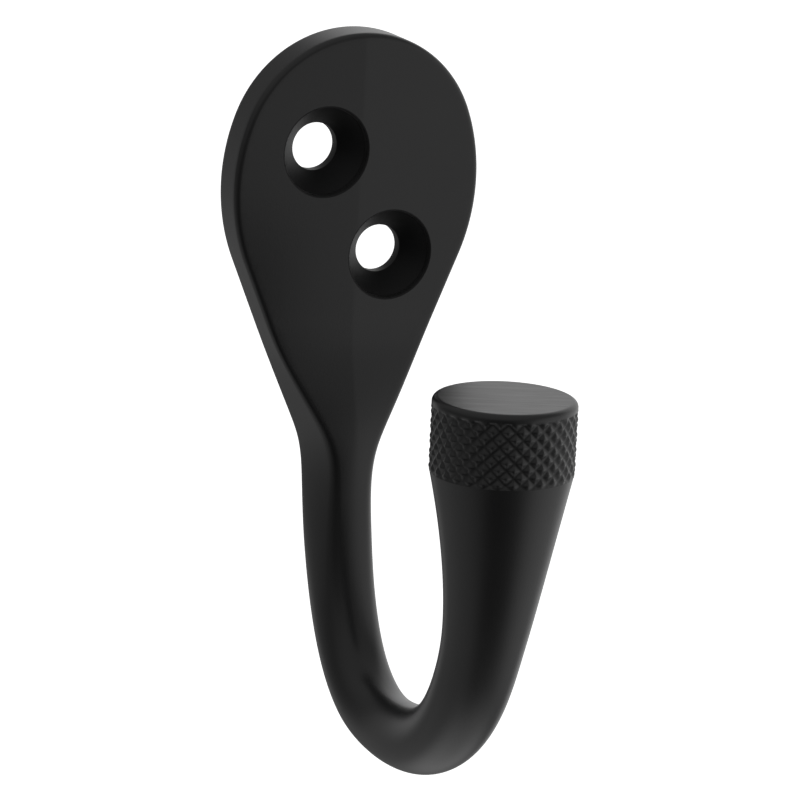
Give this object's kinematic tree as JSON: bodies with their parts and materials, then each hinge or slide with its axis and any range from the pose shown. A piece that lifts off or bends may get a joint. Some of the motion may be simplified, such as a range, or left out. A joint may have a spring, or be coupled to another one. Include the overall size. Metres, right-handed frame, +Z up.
{
  "type": "utility hook",
  "caption": "Wall hook: teardrop plate with slanted countersunk screw holes, a round bar bent into a J and a flared arm that ends in a knurled flat-topped button.",
  "frame": {"origin": "on the flat back face, midway between the two screw holes", "axes": "+Z up along the plate towards its crown, -Y out of the wall towards the arm, +X to the right seen from the front; the wall is the plane Y = 0"},
  "size_m": [0.0276, 0.0468, 0.0736],
  "materials": {
    "black_coat": "matte"
  },
  "bodies": {
    "root": {"hook": "black_coat"}
  },
  "joints": []
}
